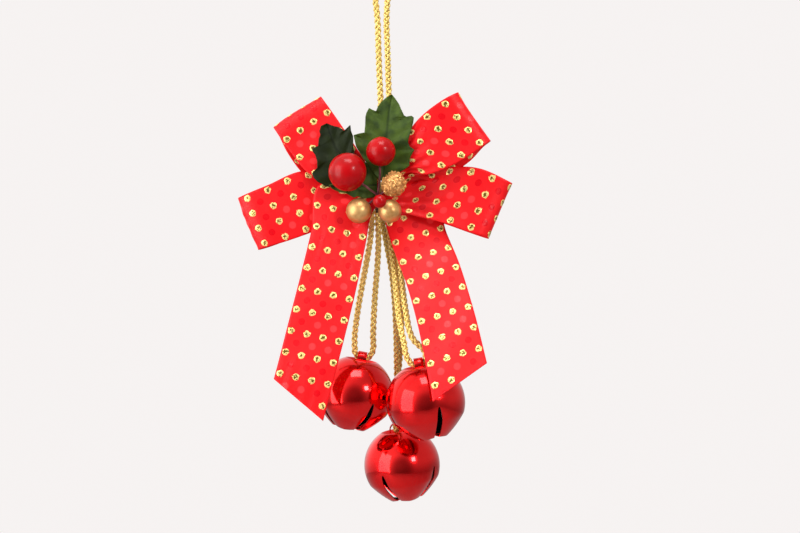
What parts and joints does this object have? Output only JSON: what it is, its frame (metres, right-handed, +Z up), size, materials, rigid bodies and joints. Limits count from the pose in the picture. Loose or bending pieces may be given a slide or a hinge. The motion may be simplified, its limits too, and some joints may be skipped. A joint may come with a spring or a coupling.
{
  "type": "christmas bell ornament",
  "caption": "Ribbon bow with a berry and leaf pick on a looped braided hanger, with jingle bells hanging from doubled cords below.",
  "frame": {"origin": "inner top of the hanging loop, where a hook or a twig carries it", "axes": "+Z up along the hanger, +X to the right of the bow, the front with the pick faces -Y"},
  "size_m": [0.1468, 0.0745, 0.2983],
  "materials": {
    "red_satin": "satin ribbon with gold and tonal dots",
    "gold_braid": "metallic braided cord",
    "tie_wire": "soft gold wire",
    "leaf_cloth": "waxed green leaf cloth",
    "berry_gloss": "glossy red lacquer",
    "gold_satin": "satin metallic gold",
    "copper_glitter": "coarse copper gold glitter",
    "stem_wire": "paper-wrapped dark red wire",
    "wrap_tape": "crepe floral tape",
    "bell_lacquer": "transparent red lacquer on bright steel",
    "pellet_steel": "plain steel"
  },
  "bodies": {
    "root": {"hanger_cord": "gold_braid", "tie_wire": "tie_wire", "upper_left_loop": "red_satin", "upper_right_loop": "red_satin", "lower_left_loop": "red_satin", "lower_right_loop": "red_satin", "left_tail": "red_satin", "right_tail": "red_satin", "left_leaf": "leaf_cloth", "right_leaf": "leaf_cloth", "middle_leaf": "leaf_cloth", "large_red_berry": "berry_gloss", "medium_red_berry": "berry_gloss", "small_red_berry": "berry_gloss", "left_gold_ball": "gold_satin", "right_gold_ball": "gold_satin", "glitter_nugget": "copper_glitter", "pick_stems": "stem_wire", "pick_wrap": "wrap_tape"},
    "left_cord": {"left_bell_cord": "gold_braid"},
    "left_bell": {"left_bell_shell": "bell_lacquer", "left_bell_shank": "bell_lacquer"},
    "left_pellet": {"left_bell_pellet": "pellet_steel"},
    "right_cord": {"right_bell_cord": "gold_braid"},
    "right_bell": {"right_bell_shell": "bell_lacquer", "right_bell_shank": "bell_lacquer"},
    "right_pellet": {"right_bell_pellet": "pellet_steel"},
    "lower_cord": {"lower_bell_cord": "gold_braid"},
    "lower_bell": {"lower_bell_shell": "bell_lacquer", "lower_bell_shank": "bell_lacquer"},
    "lower_pellet": {"lower_bell_pellet": "pellet_steel"}
  },
  "joints": [
    {"name": "left_cord_swing", "type": "hinge", "parent": "root", "child": "left_cord", "pos_m": [-0.0044, 0.0055, -0.1295], "axis": [0, 1, 0], "range_deg": [0, 14]},
    {"name": "left_bell_tilt", "type": "hinge", "parent": "left_cord", "child": "left_bell", "pos_m": [-0.0103, 0.0015, -0.21726], "axis": [0.9816, 0, -0.1908], "range_deg": [-6, 6]},
    {"name": "left_pellet_roll", "type": "hinge", "parent": "left_bell", "child": "left_pellet", "pos_m": [-0.014, 0.0015, -0.2363], "axis": [0, 1, 0], "range_deg": [-45, 45]},
    {"name": "right_cord_swing", "type": "hinge", "parent": "root", "child": "right_cord", "pos_m": [0.0044, 0.0055, -0.1295], "axis": [0.5, -0.866, 0], "range_deg": [0, 16]},
    {"name": "right_bell_tilt", "type": "hinge", "parent": "right_cord", "child": "right_bell", "pos_m": [0.01993, -0.019, -0.21899], "axis": [0.9848, 0, 0.1736], "range_deg": [-6, 6]},
    {"name": "right_pellet_roll", "type": "hinge", "parent": "right_bell", "child": "right_pellet", "pos_m": [0.0233, -0.019, -0.2381], "axis": [0, 1, 0], "range_deg": [-45, 45]},
    {"name": "lower_cord_swing", "type": "hinge", "parent": "root", "child": "lower_cord", "pos_m": [0, 0.01, -0.1295], "axis": [1, 0, 0], "range_deg": [0, 20]},
    {"name": "lower_bell_tilt", "type": "hinge", "parent": "lower_cord", "child": "lower_bell", "pos_m": [0.00817, 0.01, -0.25644], "axis": [0.9877, 0, 0.1564], "range_deg": [-6, 6]},
    {"name": "lower_pellet_roll", "type": "hinge", "parent": "lower_bell", "child": "lower_pellet", "pos_m": [0.0112, 0.01, -0.2756], "axis": [0, 1, 0], "range_deg": [-45, 45]}
  ]
}
